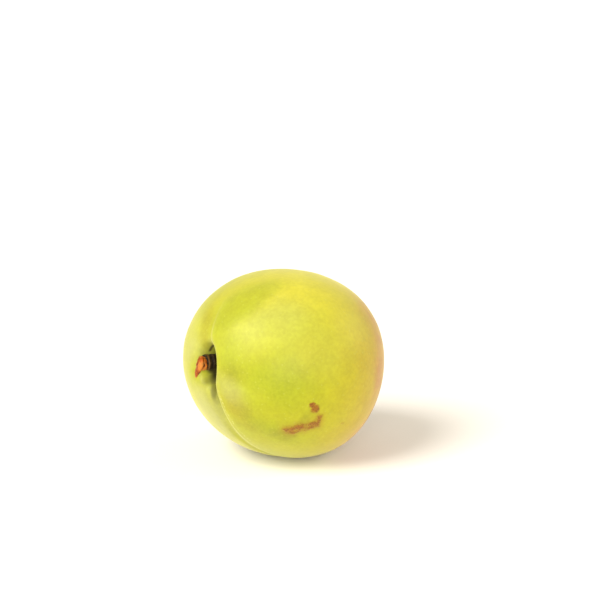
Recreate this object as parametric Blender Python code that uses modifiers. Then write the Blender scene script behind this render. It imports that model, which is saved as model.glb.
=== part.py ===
"""A nectarine as picked, lying on its side.

One whole fruit with its stem cavity, its seam and its tip, the short stub of stalk that
stayed in the cavity, and the torn bark hooked over the stub's end. Metres, +Z up. The
origin is on the surface the fruit lies on, under the middle of the model's box, and the
stalk points along -X and a little up.

The pieces are modelled in the fruit's own frame, with +Z from its middle to the stalk,
+X to the seam and +Y to the fuller cheek, and an empty lays that frame down.
"""
import math

import bmesh
import bpy
import numpy as np
from mathutils import Matrix, Vector

# Body: half sizes, from the middle of the fruit.
HALF_THICKNESS = 0.0307   # from the middle to the seam
HALF_WIDTH = 0.0324       # from the middle to a cheek
HALF_LENGTH = 0.0324      # from the middle to the shoulders, before the cavity is sunk
SQUARENESS = 2.03         # 2 is a plain ellipsoid
TAPER = 0.018             # how much narrower the stalk end is than the middle

# Bulges and flats of this fruit: degrees from the stalk, degrees round from the seam
# towards the fuller cheek, and height.
SWELLS = (
    (115, 20, 0.0013),
    (40, -115, 0.0009),
    (65, -160, 0.0006),
    (130, 130, 0.0004),
    (100, 170, -0.0005),
    (50, -50, -0.0006),
    (140, 65, -0.0009),
    (80, -10, -0.0007),
)
SWELL_REACH = math.radians(26)

# Stem cavity: its depth, its half sizes each way, and how square its walls stand.
CAVITY_DEPTH = 0.0088
CAVITY_TO_SEAM = 0.0056
CAVITY_TO_BACK = 0.0054
CAVITY_TO_FULL_CHEEK = 0.0036
CAVITY_TO_FLAT_CHEEK = 0.0040
CAVITY_STEEP_POWER = 8.0
CAVITY_SLACK_POWER = 4.0

# Seam: a groove that is deep by the cavity and shallow from there to the tip.
SEAM_DEEP = 0.0034
SEAM_SHALLOW = 0.0005
SEAM_OFFSET = 0.0016      # how far it leans to the fuller cheek by the stalk
SEAM_DEEPEST_AT = math.radians(13)
SEAM_DEEP_REACH = math.radians(20)
SEAM_TO_FULL_CHEEK = 0.0010
SEAM_TO_FLAT_CHEEK = 0.0014

# Furrow: the soft valley that leaves the cavity on the side away from the seam.
FURROW_DEPTH = 0.0008
FURROW_DEEPEST_AT = math.radians(15)
FURROW_REACH = math.radians(22)
FURROW_TO_FULL_CHEEK = 0.0016
FURROW_TO_FLAT_CHEEK = 0.0030

SIDE_BLEND = 0.0020       # how fast the seam gives way to the furrow across the stalk
GROOVE_POWER = 3.2        # how square the sides of the seam and the furrow stand
TINY = 1e-9               # keeps a division at the very pole finite

# Tip: a shallow dip with a small dry nub in it.
TIP_DIP = 0.0009
TIP_DIP_REACH = 0.0050
TIP_NUB = 0.0010
TIP_NUB_REACH = 0.0009

# How the fruit lies: the stalk's rise over level, the seam's turn from straight under it
# towards the fuller cheek, and how much of the lowest spot is pressed flat.
STALK_RISE = math.radians(10.2)
SEAM_ROLL = math.radians(13.0)
REST_FLAT_DEPTH = 0.0007
CUT_SNAP = 0.00002        # corners closer than this to the flat's plane count as on it

# Facets of the skin: rings stand closer together towards both poles, and the lines that
# run from pole to pole stand closer together towards the seam and the furrow.
SKIN_SEGMENTS = 64
SKIN_RINGS = 48
RING_CROWDING = 0.7
SEGMENT_CROWDING = 0.4

# Stalk: a woody stub with the rings of its bark, flared towards its broken end.
FIT_GAP = 0.0003
STALK_FOOT = HALF_LENGTH - CAVITY_DEPTH + FIT_GAP
STALK_END = 0.0317
STALK_FOOT_RADIUS = 0.0017
STALK_END_RADIUS = 0.00245
STALK_RIDGES = 5
STALK_RIDGE_HEIGHT = 0.00016
STALK_PROFILE_POINTS = 24
STALK_SIDES = 20
POLE_MERGE = 0.00001      # joins the copies of the two points on the axis

# Torn bark: a thick collar on the stub's end that tapers to a point bent to the seam side.
# The bend and the point are measured from the middle of the stub's end.
BARK_COLLAR_RADIUS = 0.0025
BARK_POINT_RADIUS = 0.00025
BARK_TAPER_POWER = 1.3    # over 1 the collar stays thick for longer
BARK_BEND = Vector((-0.0004, 0, 0.0030))
BARK_POINT = Vector((0.0046, -0.0013, 0.0021))
BARK_PATH_POINTS = 14
BARK_ROUNDNESS = 3

# Colours: base colour in linear light, roughness.
SKIN_FINISH = ((0.66, 0.67, 0.07), 0.5)
STALK_FINISH = ((0.045, 0.03, 0.022), 0.7)
BARK_FINISH = ((0.62, 0.16, 0.03), 0.45)


def clear_scene():
    for item in list(bpy.data.objects):
        bpy.data.objects.remove(item, do_unlink=True)


def make_collection(name):
    collection = bpy.data.collections.new(name)
    bpy.context.scene.collection.children.link(collection)
    return collection


def make_material(name, finish):
    color, roughness = finish
    material = bpy.data.materials.new(name)
    material.use_nodes = True
    shader = material.node_tree.nodes["Principled BSDF"]
    shader.inputs["Base Color"].default_value = (*color, 1)
    shader.inputs["Roughness"].default_value = roughness
    shader.inputs["Metallic"].default_value = 0
    return material


def body_radius(seam_way, cheek_way, stalk_way):
    """Distance from the middle to the plain body, along a unit direction."""
    narrowing = 1 - TAPER * stalk_way
    spread = np.abs(seam_way / (HALF_THICKNESS * narrowing)) ** SQUARENESS
    spread += np.abs(cheek_way / (HALF_WIDTH * narrowing)) ** SQUARENESS
    spread += np.abs(stalk_way / HALF_LENGTH) ** SQUARENESS
    radius = spread ** (-1 / SQUARENESS)
    for from_stalk, from_seam, height in SWELLS:
        polar = math.radians(from_stalk)
        turn = math.radians(from_seam)
        closeness = seam_way * math.sin(polar) * math.cos(turn)
        closeness += cheek_way * math.sin(polar) * math.sin(turn)
        closeness += stalk_way * math.cos(polar)
        away = np.arccos(np.clip(closeness, -1, 1))
        radius += height * np.exp(-((away / SWELL_REACH) ** 2) / 2)
    return radius


def cavity_sink(to_seam, to_cheek):
    """How far the stem cavity sinks the skin, down the stalk's line."""
    seam_reach = np.where(to_seam > 0, CAVITY_TO_SEAM, CAVITY_TO_BACK)
    cheek_reach = np.where(to_cheek > 0, CAVITY_TO_FULL_CHEEK, CAVITY_TO_FLAT_CHEEK)
    out = np.hypot(to_seam / seam_reach, to_cheek / cheek_reach)
    slackness = np.maximum(-to_cheek, 0) / np.maximum(np.hypot(to_seam, to_cheek), TINY)
    power = CAVITY_STEEP_POWER + (CAVITY_SLACK_POWER - CAVITY_STEEP_POWER) * slackness
    return CAVITY_DEPTH / (1 + out ** power)


def seam_sink(polar, to_seam, to_cheek):
    """How far the seam and the furrow opposite sink the skin, towards the middle."""
    seam_side = (1 + np.tanh(to_seam / SIDE_BLEND)) / 2
    off_seam = to_cheek - SEAM_OFFSET * (1 + np.cos(polar)) / 2
    across = np.abs(off_seam) / np.where(off_seam > 0, SEAM_TO_FULL_CHEEK, SEAM_TO_FLAT_CHEEK)
    depth = SEAM_SHALLOW + SEAM_DEEP * np.exp(-(((polar - SEAM_DEEPEST_AT) / SEAM_DEEP_REACH) ** 2))
    seam = depth / (1 + across ** GROOVE_POWER)
    across = np.abs(to_cheek) / np.where(to_cheek > 0, FURROW_TO_FULL_CHEEK, FURROW_TO_FLAT_CHEEK)
    depth = FURROW_DEPTH * np.exp(-(((polar - FURROW_DEEPEST_AT) / FURROW_REACH) ** 2))
    furrow = depth / (1 + across ** GROOVE_POWER)
    return seam_side * seam + (1 - seam_side) * furrow


def skin_points(polar, turn):
    """Points of the skin in the fruit's own frame, for angles from the stalk and the seam."""
    seam_way = np.sin(polar) * np.cos(turn)
    cheek_way = np.sin(polar) * np.sin(turn)
    stalk_way = np.cos(polar)
    radius = body_radius(seam_way, cheek_way, stalk_way)
    radius -= seam_sink(polar, radius * seam_way, radius * cheek_way)
    to_seam = radius * seam_way
    to_cheek = radius * cheek_way
    to_stalk = radius * stalk_way
    off_axis = np.hypot(to_seam, to_cheek)
    sink = cavity_sink(to_seam, to_cheek)
    dip = TIP_DIP * np.exp(-((off_axis / TIP_DIP_REACH) ** 2))
    dip -= TIP_NUB * np.exp(-((off_axis / TIP_NUB_REACH) ** 2))
    to_stalk = np.where(stalk_way > 0, to_stalk - sink, to_stalk + dip)
    return np.stack([to_seam, to_cheek, to_stalk], axis=1)


def lay_rotation():
    """Turns the fruit's own frame to the way it lies."""
    stalk = Vector((-math.cos(STALK_RISE), 0, math.sin(STALK_RISE)))
    under = Vector((-math.sin(STALK_RISE), 0, -math.cos(STALK_RISE)))
    seam = math.cos(SEAM_ROLL) * under + math.sin(SEAM_ROLL) * Vector((0, -1, 0))
    cheek = stalk.cross(seam)
    return Matrix((seam, cheek, stalk)).transposed()


def cut_rest_flat(shape, turn):
    """Cuts the lowest spot off flat, and returns how far below the middle the cut lies."""
    upwards = turn.transposed() @ Vector((0, 0, 1))
    floor = min(upwards.dot(vertex.co) for vertex in shape.verts) + REST_FLAT_DEPTH
    everything = shape.verts[:] + shape.edges[:] + shape.faces[:]
    cut = bmesh.ops.bisect_plane(
        shape,
        geom=everything,
        dist=CUT_SNAP,
        plane_co=upwards * floor,
        plane_no=upwards,
        clear_inner=True,
    )
    rim = [item for item in cut["geom_cut"] if isinstance(item, bmesh.types.BMEdge)]
    bmesh.ops.contextual_create(shape, geom=rim)
    bmesh.ops.recalc_face_normals(shape, faces=shape.faces[:])
    return floor


def make_fruit(collection, frame, turn):
    shape = bmesh.new()
    bmesh.ops.create_uvsphere(shape, u_segments=SKIN_SEGMENTS, v_segments=SKIN_RINGS, radius=1)
    sphere = np.array([vertex.co for vertex in shape.verts])
    ring = np.arccos(np.clip(sphere[:, 2], -1, 1)) / math.pi
    polar = math.pi * (ring - RING_CROWDING * np.sin(2 * math.pi * ring) / (2 * math.pi))
    around = np.arctan2(sphere[:, 1], sphere[:, 0])
    around -= SEGMENT_CROWDING * np.sin(2 * around) / 2
    for vertex, point in zip(shape.verts, skin_points(polar, around)):
        vertex.co = point
    floor = cut_rest_flat(shape, turn)
    mesh = bpy.data.meshes.new("fruit")
    shape.to_mesh(mesh)
    shape.free()
    mesh.shade_smooth()
    mesh.materials.append(make_material("skin", SKIN_FINISH))
    fruit = bpy.data.objects.new("fruit", mesh)
    fruit.parent = frame
    collection.objects.link(fruit)
    return fruit, floor


def stalk_radius(along):
    """Radius of the stub at a share of its length from the foot."""
    flare = STALK_FOOT_RADIUS + (STALK_END_RADIUS - STALK_FOOT_RADIUS) * math.sqrt(along)
    ridge = (1 - math.cos(2 * math.pi * STALK_RIDGES * along)) / 2
    return flare + STALK_RIDGE_HEIGHT * ridge


def make_stalk(collection, frame):
    mesh = bpy.data.meshes.new("stem")
    shape = bmesh.new()
    outline = [shape.verts.new((0, 0, STALK_END))]
    for step in range(STALK_PROFILE_POINTS + 1):
        along = 1 - step / STALK_PROFILE_POINTS
        height = STALK_FOOT + (STALK_END - STALK_FOOT) * along
        outline.append(shape.verts.new((stalk_radius(along), 0, height)))
    outline.append(shape.verts.new((0, 0, STALK_FOOT)))
    for upper, lower in zip(outline, outline[1:]):
        shape.edges.new((upper, lower))
    shape.to_mesh(mesh)
    shape.free()
    mesh.materials.append(make_material("bark_grey", STALK_FINISH))
    stalk = bpy.data.objects.new("stem", mesh)
    stalk.parent = frame
    collection.objects.link(stalk)
    screw = stalk.modifiers.new("turn", "SCREW")
    screw.steps = STALK_SIDES
    screw.render_steps = STALK_SIDES
    screw.use_merge_vertices = True
    screw.merge_threshold = POLE_MERGE
    screw.use_smooth_shade = True
    return stalk


def make_torn_bark(collection, frame):
    curve = bpy.data.curves.new("stem_tip", "CURVE")
    curve.dimensions = "3D"
    curve.bevel_depth = 1
    curve.bevel_resolution = BARK_ROUNDNESS
    curve.use_fill_caps = True
    curve.twist_mode = "MINIMUM"
    base = Vector((0, 0, STALK_END + FIT_GAP))
    bend = base + BARK_BEND
    point = base + BARK_POINT
    spline = curve.splines.new("POLY")
    spline.points.add(BARK_PATH_POINTS - 1)
    for index, knot in enumerate(spline.points):
        along = index / (BARK_PATH_POINTS - 1)
        place = (1 - along) ** 2 * base + 2 * along * (1 - along) * bend + along ** 2 * point
        knot.co = (*place, 1)
        taper = along ** BARK_TAPER_POWER
        knot.radius = BARK_COLLAR_RADIUS + (BARK_POINT_RADIUS - BARK_COLLAR_RADIUS) * taper
    curve.materials.append(make_material("bark_torn", BARK_FINISH))
    bark = bpy.data.objects.new("stem_tip", curve)
    bark.parent = frame
    collection.objects.link(bark)
    return bark


def world_box(pieces):
    """Lowest and highest corners of the evaluated pieces."""
    bpy.context.view_layer.update()
    graph = bpy.context.evaluated_depsgraph_get()
    corners = []
    for piece in pieces:
        shown = piece.evaluated_get(graph)
        mesh = shown.to_mesh()
        corners.extend(shown.matrix_world @ vertex.co for vertex in mesh.vertices)
        shown.to_mesh_clear()
    lowest = Vector(min(corner[i] for corner in corners) for i in range(3))
    highest = Vector(max(corner[i] for corner in corners) for i in range(3))
    return lowest, highest


def main():
    clear_scene()
    collection = make_collection("nectarine")
    frame = bpy.data.objects.new("laid_fruit", None)
    collection.objects.link(frame)
    turn = lay_rotation()
    fruit, floor = make_fruit(collection, frame, turn)
    stalk = make_stalk(collection, frame)
    bark = make_torn_bark(collection, frame)
    frame.matrix_world = Matrix.Translation((0, 0, -floor)) @ turn.to_4x4()
    lowest, highest = world_box((fruit, stalk, bark))
    middle = (lowest + highest) / 2
    frame.location.x = -middle.x
    frame.location.y = -middle.y
    bpy.context.view_layer.update()


main()
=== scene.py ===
"""A nectarine lying on its side, dressed for a studio picture.

Three pieces stand for the three solids of the frame: the skin with its cavity, seam, tip and
marks, the stub of stalk in the cavity, and the torn bark on the stub's end. Sizes are metres,
+Z up, in the frame's own place. Shapes are worked out in the fruit's own frame, with +Z from
its middle to the stalk, +X to the seam and +Y to the fuller cheek, and are then laid down.
Places on the skin are given as degrees from the stalk and degrees round from the seam.
"""
import math
from typing import NamedTuple

import bpy
import numpy as np
from bpy.props import FloatProperty, FloatVectorProperty, IntProperty, PointerProperty
from bpy.types import NodeSocket, Operator, Panel, PropertyGroup
from mathutils import Matrix, Vector


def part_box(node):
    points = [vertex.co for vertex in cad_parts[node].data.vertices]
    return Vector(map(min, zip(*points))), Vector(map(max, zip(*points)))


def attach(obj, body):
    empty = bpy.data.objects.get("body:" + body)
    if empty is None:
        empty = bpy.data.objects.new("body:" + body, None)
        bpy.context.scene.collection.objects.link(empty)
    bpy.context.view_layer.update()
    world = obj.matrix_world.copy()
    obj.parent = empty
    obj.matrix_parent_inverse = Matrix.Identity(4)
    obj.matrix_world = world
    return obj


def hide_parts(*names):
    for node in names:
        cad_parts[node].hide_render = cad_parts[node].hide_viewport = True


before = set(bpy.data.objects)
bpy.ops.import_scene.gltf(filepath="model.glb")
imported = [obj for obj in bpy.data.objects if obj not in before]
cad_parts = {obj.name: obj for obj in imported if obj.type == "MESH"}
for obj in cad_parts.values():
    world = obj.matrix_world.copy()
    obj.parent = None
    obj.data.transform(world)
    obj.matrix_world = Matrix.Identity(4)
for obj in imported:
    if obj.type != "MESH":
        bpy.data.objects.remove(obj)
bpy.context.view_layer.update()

bl_info = {
    "name": "Nectarine",
    "version": (1, 0, 0),
    "blender": (4, 5, 0),
    "location": "3D View > Sidebar > Nectarine",
    "description": "Models a nectarine with its stalk and sets it on a pale studio floor",
    "category": "Add Mesh",
}

TINY = 1e-9

# Bulges and flats of this fruit: degrees from the stalk, degrees round from the seam, height.
SWELLS = (
    (115, 20, 0.0013),
    (40, -115, 0.0009),
    (65, -160, 0.0006),
    (130, 130, 0.0004),
    (100, 170, -0.0005),
    (50, -50, -0.0006),
    (140, 65, -0.0009),
    (80, -10, -0.0007),
)
SWELL_REACH = math.radians(26)

# How square the body is, how steep the cavity's walls stand, and how steep the groove's sides.
BODY_POWER = 2.03
CAVITY_STEEP_POWER = 8.0
CAVITY_SLACK_POWER = 4.0
GROOVE_POWER = 3.2

# Reach of the cavity from the stalk's line to each side.
CAVITY_TO_SEAM = 0.0056
CAVITY_TO_BACK = 0.0054
CAVITY_TO_FULL_CHEEK = 0.0036
CAVITY_TO_FLAT_CHEEK = 0.0040

# Seam and the furrow opposite: where they are deepest, how far that reaches, and their widths.
SEAM_SHALLOW = 0.0005
SEAM_OFFSET = 0.0016
SEAM_DEEPEST_AT = math.radians(13)
SEAM_DEEP_REACH = math.radians(20)
SEAM_TO_FULL_CHEEK = 0.0010
SEAM_TO_FLAT_CHEEK = 0.0014
FURROW_DEPTH = 0.0008
FURROW_DEEPEST_AT = math.radians(15)
FURROW_REACH = math.radians(16)
FURROW_TO_FULL_CHEEK = 0.0016
FURROW_TO_FLAT_CHEEK = 0.0030
SIDE_BLEND = 0.0020

# Tip: a shallow dip with a dry nub.
TIP_DIP = 0.0009
TIP_DIP_REACH = 0.0050
TIP_NUB = 0.0010
TIP_NUB_REACH = 0.0009

# How the fruit lies, and how softly the floor presses its lowest spot flat.
STALK_RISE = math.radians(10.2)
SEAM_ROLL = math.radians(13.0)
PRESS_SOFTNESS = 0.00008

# Crowding of the skin's rings towards the poles and of its long lines towards the seam, the grid
# of points that is fitted to the solid's box, and the slight swell of the finished skin.
RING_CROWDING = 0.7
SEGMENT_CROWDING = 0.4
GRID_RINGS = 181
GRID_LINES = 361
SKIN_SWELL_GRAIN = 0.009
SKIN_SWELL_HEIGHT = 0.00016

# Stub of stalk: how far it sinks in the cavity's floor, its sides and steps of modelling, its rings
# of bark, how narrow it is from cheek to cheek, its hollow broken end and its relief.
STALK_SINK = 0.0004
STALK_SIDES = 40
STALK_STEPS = 30
STALK_SMOOTHING = 2
STALK_RIDGES = 5
STALK_RIDGE_HEIGHT = 0.00018
STALK_NARROWING = 0.82
STALK_RIM = 0.0006
STALK_HOLLOW = 0.0005
STALK_RELIEF_GRAIN = 0.0007
STALK_RELIEF_HEIGHT = 0.00022

# How far the stub leans from the stalk's line, how its break slants, how much of its length the
# slant bends, and where its end is moved to.
LEAN_TO_SEAM = math.radians(6)
LEAN_TO_FLAT_CHEEK = math.radians(12)
BREAK_SLANT = math.radians(10)
BREAK_REACH = 0.0035
STALK_SHIFT = Vector((-0.00015, -0.00035, 0))

# Torn bark: a collar, and a strap that leaves its upper rim and hooks down to a point. It stands
# a gap off the break. Each knot is to the seam, to the full cheek and along the stub, then half
# thickness and half width.
BARK_GAP = 0.0002
BARK_SIDES = 96
BARK_RINGS = 120
BARK_KNOTS = (
    (0.00000, 0.00000, 0.00000, 0.00214, 0.00182),
    (0.00000, 0.00005, 0.00040, 0.00230, 0.00194),
    (-0.00005, 0.00010, 0.00078, 0.00206, 0.00166),
    (-0.00110, 0.00080, 0.00110, 0.00095, 0.00110),
    (-0.00056, 0.00120, 0.00140, 0.00075, 0.00130),
    (0.00036, 0.00080, 0.00180, 0.00078, 0.00150),
    (0.00135, -0.00010, 0.00228, 0.00074, 0.00145),
    (0.00236, -0.00110, 0.00265, 0.00060, 0.00115),
    (0.00325, -0.00170, 0.00292, 0.00036, 0.00066),
    (0.00400, -0.00240, 0.00302, 0.00014, 0.00018),
)

# The share of the bark's length ahead and behind that gives its direction, its fibres and how
# they turn on the way, how much of its length each round end takes, its relief, and the attribute
# that holds each point's place along it.
BARK_STEP = 0.01
BARK_FIBRES = 11
BARK_FIBRE_TURN = 4
BARK_FIBRE_HEIGHT = 0.025
BARK_ROUND_END = 0.05
BARK_RELIEF_GRAIN = 0.0005
BARK_RELIEF_HEIGHT = 0.00012
BARK_ALONG = "bark_along"

# Soft lights round the fruit: name, degrees round, degrees up, and share of the light. Then how
# far off they stand.
SOFT_LIGHTS = (
    ("key", -93, 43, 1.0),
    ("low_front", -39, 12, 0.81),
    ("low_left", -100, 10, 0.26),
    ("right", 60, 25, 0.33),
)
LIGHT_STAND = 1.5


class Patch(NamedTuple):
    """An oval of colour on the skin: its middle in degrees, its half sizes in metres."""

    from_stalk: float
    from_seam: float
    half_length: float
    half_width: float
    lean: float
    softness: float


class Fade(NamedTuple):
    """A smooth run: the values where it starts and ends, and what it gives at each of them."""

    start: float
    end: float
    low: float = 0.0
    high: float = 1.0


# Patterns all over the skin. A grain is the size of its features in metres, then its detail.
MOTTLE_GRAIN = (0.006, 3)
MOTTLE_FADE = Fade(0.35, 0.7, 0.0, 0.35)
SPECKLE_GRAIN = (0.0011, 3)
SPECKLE_FADE = Fade(0.3, 0.7, 0.94, 1.045)
CLOUD_GRAIN = (0.0036, 2)
CLOUD_FADE = Fade(0.3, 0.7, 0.955, 1.04)
FINE_GRAIN = (0.0007, 2)
FINE_FADE = Fade(0.3, 0.7, 0.0, 0.16)
DOT_SPACING = 0.0019
DOT_FADE = Fade(0.20, 0.09, 0.0, 0.22)

# Uneven edges of the patches and of the russet, each with its grain and how far it shifts them,
# and how deep under the skin and over it a patch reaches.
LOOSE_EDGE = (0.014, 0.010)
FRAYED_EDGE = (0.0012, 0.0016)
PATCH_DEPTH = 0.030

# Bumps of the skin, each with its height in metres and its strength, and how far red, green and
# blue light pass under it.
DOWN_GRAIN = (0.0004, 3)
DOWN_BUMP = (0.00002, 0.35)
MOTTLE_BUMP = (0.0002, 0.25)
RUSSET_BUMP = (0.00008, 0.8)
SOFT_REACH = (1.0, 0.7, 0.15)

# Broad patches of the skin: colour, share of it and place. Bright patches are partly paler skin and
# partly a painted highlight, pale ones partly bloom and partly painted sheen, and fold ones are
# painted shade in the furrow and beside the seam.
BROAD_PATCHES = (
    ("ochre", 0.9, Patch(112, 85, 0.026, 0.036, 0, 0.6)),
    ("blush", 0.3, Patch(114, 38, 0.012, 0.009, 0, 0.8)),
    ("top", 0.9, Patch(80, 147, 0.026, 0.018, 0, 0.7)),
    # paler skin with a painted highlight where the key light falls
    ("bright", 0.8, Patch(42, 118, 0.016, 0.0075, -6, 0.6)),
    ("bright", 0.5, Patch(30, 52, 0.0060, 0.0045, 20, 0.9)),
    ("green", 0.65, Patch(38, 155, 0.0145, 0.0062, -8, 0.45)),
    ("green", 0.8, Patch(48, 74, 0.0095, 0.0070, 0, 0.9)),
    ("bright", 0.5, Patch(54, 103, 0.0060, 0.0040, 0, 0.9)),
    ("bright", 0.8, Patch(22, -145, 0.0080, 0.0050, 0, 0.8)),
    ("bruise", 0.75, Patch(18.5, 78, 0.0034, 0.0032, 0, 0.9)),
    ("green", 0.6, Patch(20, 106, 0.0055, 0.0045, 0, 0.8)),
    ("green", 0.4, Patch(29, 74, 0.0055, 0.0050, 0, 0.8)),
    # painted shade beside the seam's groove
    ("fold_shade", 0.85, Patch(36, 35, 0.0080, 0.0036, 0, 0.8)),
    ("green", 0.5, Patch(45, -18, 0.0080, 0.0035, 0, 0.9)),
    # pale bloom with painted sheen
    ("pale", 0.4, Patch(14, -122, 0.0040, 0.0040, 0, 0.9)),
    ("pale", 0.4, Patch(20, 46, 0.0060, 0.0030, 0, 0.9)),
    ("pale", 0.4, Patch(26, -31, 0.0070, 0.0030, 0, 0.9)),
    ("pale", 0.65, Patch(34, -9, 0.0075, 0.0042, 0, 0.9)),
    ("ochre", 0.45, Patch(104, 128, 0.0100, 0.0080, 0, 0.9)),
    ("pale", 0.22, Patch(56, 124, 0.0090, 0.0065, 0, 0.95)),
    ("pale", 0.16, Patch(70, 95, 0.0080, 0.0070, 0, 0.95)),
    ("green", 0.7, Patch(55, 37, 0.0090, 0.0035, 0, 0.8)),
    ("bruise", 0.4, Patch(58, 37, 0.0030, 0.0020, 60, 0.8)),
    ("bruise", 0.4, Patch(67.6, 51.9, 0.0040, 0.0016, 60, 0.8)),
    ("bruise", 0.5, Patch(66, 37, 0.0030, 0.0016, 60, 0.8)),
    # painted shade in the furrow opposite the seam
    ("fold_shade", 0.55, Patch(22, -169, 0.0090, 0.0024, 0, 0.7)),
)

# Blush towards the tip, in the same way, and the red streaks in it.
BLUSH_PATCHES = (
    ("blush", 0.4, Patch(124, 122, 0.008, 0.009, 0, 0.8)),
    ("blush", 0.4, Patch(127, 84, 0.006, 0.010, 0, 0.8)),
    ("blush", 0.8, Patch(121, 42, 0.011, 0.0048, 54, 0.5)),
    ("blush", 0.85, Patch(160, 80, 0.030, 0.030, 0, 0.5)),
    ("blush", 0.5, Patch(128, -120, 0.020, 0.014, 20, 0.7)),
    ("deep_blush", 0.75, Patch(124, 41, 0.012, 0.0050, 54, 0.6)),
    ("deep_blush", 0.25, Patch(122, 124, 0.007, 0.007, 0, 0.8)),
    ("deep_blush", 0.3, Patch(128, 84, 0.006, 0.009, 0, 0.7)),
)
STREAK_STRETCH = (1, 1, 0.3)
STREAK_GRAIN = (0.0045, 5)
STREAK_REACH = Fade(0.6, 1.0)
STREAK_FADE = Fade(0.34, 0.74)

# Russet spots on the front cheek: share of the russet colour and place.
RUSSET_SPOTS = (
    (1.0, Patch(68.9, 63.9, 0.00100, 0.00095, 0, 0.4)),
    (1.0, Patch(71.3, 61.6, 0.00135, 0.00140, 0, 0.4)),
    (0.3, Patch(92.9, 53.3, 0.00060, 0.00050, 0, 0.7)),
    (0.9, Patch(61.8, 41.2, 0.00110, 0.00090, 0, 0.5)),
)

# Green of the cavity, darker than the skin as painted shade in the hollow: how far under the
# shoulders it starts, and how it fades off the stalk's line and towards the fruit's middle.
CAVITY_RIM_DROP = 0.0022
CAVITY_REACH = Fade(0.009, 0.005)
CAVITY_END = Fade(0.0, 0.01)
CAVITY_SHARE = 0.7

# Brown ring on the cavity's wall, on the side away from the seam: how far it lies under the
# shoulders, and how it fades to its edges, off the stalk's line and towards the seam.
RING_DROP = 0.0043
RING_EDGE = Fade(0.0007, 0.0001)
RING_REACH = Fade(0.0075, 0.006)
RING_SIDE = Fade(-0.0033, -0.0040)
RING_SHARE = 0.9

# Pale beads in a row on the seam's lip: how far the row lies towards the full cheek, how it fades
# to its edges and at its ends, and the beads in it.
BEADS_TO_CHEEK = 0.0045
BEADS_EDGE = Fade(0.0005, 0.0002)
BEADS_OFF_STALK = Fade(0.007, 0.010)
BEADS_END = Fade(0.012, 0.021)
BEAD_SPACING = 0.0010
BEAD_FADE = Fade(0.5, 0.25, 0.15, 1.0)
BEADS_SHARE = 0.6

# Painted shade in the slot from the cavity down the seam: points in the fruit's own frame, the half
# width where the shade is fully dark, how its reach narrows, how it pales and where it ends.
SLOT_SHADE_KNOTS = (
    (0.0018, -0.0034, 0.0270),
    (0.0026, -0.0028, 0.0261),
    (0.0037, -0.0022, 0.0262),
    (0.0050, -0.0012, 0.0273),
    (0.0061, -0.0004, 0.0281),
    (0.0085, 0.0002, 0.0291),
    (0.0116, 0.0004, 0.0292),
    (0.0140, 0.0004, 0.0284),
)
SLOT_SHADE_CORE = 0.000435
SLOT_SHADE_REACH = Fade(0.004, 0.0075, 0.0029, 0.00145)
SLOT_SHADE_FADE = Fade(0.0037, 0.0063, 0.95, 0.5)
SLOT_SHADE_END = Fade(0.0140, 0.0100)

# Brown of the tip: how it fades off the stalk's line, and on which side of the fruit.
TIP_REACH = Fade(0.0017, 0.0008)
TIP_SIDE = Fade(-0.8, -0.95)

# Russet scar on the front cheek: its knots from end to end, in degrees from the stalk and from
# the seam, the knot that its hook starts from and how much narrower the hook is on each side, its
# edge and its faint halo, and the crumbs and dark specks in the russet.
RUSSET_SCAR = (
    (62.6, 41.6),
    (65.3, 42.6),
    (67.0, 46.2),
    (70.3, 47.4),
    (73.0, 49.8),
    (75.6, 51.6),
    (76.4, 53.8),
    (75.6, 56.6),
)
SCAR_HOOK_FROM = 5
SCAR_HOOK_NARROWING = 0.0006
SCAR_EDGE = Fade(0.00225, 0.0006)
SCAR_HALO = Fade(0.0042, 0.0, 0.0, 0.4)
CRUMB_GRAIN = (0.0016, 3)
CRUMB_FADE = Fade(0.38, 0.58, 0.35, 1.0)
SPECK_GRAIN = (0.0005, 2)
SPECK_FADE = Fade(0.48, 0.62, 0.0, 0.7)

# Bark of the stub: its rings, its flakes and the tan ring near its end.
STALK_RING_STRETCH = (0.25, 0.25, 1)
STALK_RING_GRAIN = (0.0006, 3)
STALK_RING_FADE = Fade(0.42, 0.68)
STALK_RING_BUMP = (0.0002, 0.8)
FLAKE_GRAIN = (0.0008, 3)
FLAKE_FADE = Fade(0.40, 0.65, 0.0, 0.7)
FLAKE_BUMP = (0.00015, 0.7)
END_RING_DROP = 0.0007
END_RING_FADE = Fade(0.00038, 0.0001, 0.0, 0.65)
STALK_ROUGHNESS = 0.6
STALK_GLOSS = 0.18

# Fibres of the torn bark, and painted light on it: colour, share of it, and how it fades along the
# bark, towards the full cheek and towards the seam. The dark red is painted shade on the collar's
# foot, the broken face and the hook's underside, the pale orange is a painted highlight on the
# collar's rim and the strap's edge, and the pale point is the bark's own colour.
FIBRE_STRETCH = (1, 2.5, 1)
FIBRE_GRAIN = (0.0008, 3)
FIBRE_FADE = Fade(0.38, 0.66, 0.0, 0.6)
FIBRE_BUMP = (0.00012, 0.6)
TORN_ROUGHNESS = 0.42
TORN_GLOSS = 0.14
# painted shade on the collar's foot, where it meets the stub
COLLAR_FOOT_SHADE = (("along", Fade(0.07, 0.03)),)
# painted shade on the broken face behind the strap
BROKEN_FACE_SHADE = (
    ("along", Fade(0.20, 0.23)),
    ("along", Fade(0.42, 0.37)),
    ("to_cheek", Fade(0.0, 0.0008, 0.1)),
    ("to_seam", Fade(-0.0014, -0.0002, 0.1)),
)
# painted shade on the hook's underside
HOOK_SIDE_SHADE = (("along", Fade(0.60, 0.74)), ("to_cheek", Fade(-0.0006, 0.0002)))
# painted highlight on the collar's rim
COLLAR_RIM_HIGHLIGHT = (("along", Fade(0.10, 0.15)), ("along", Fade(0.215, 0.19)))
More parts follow.
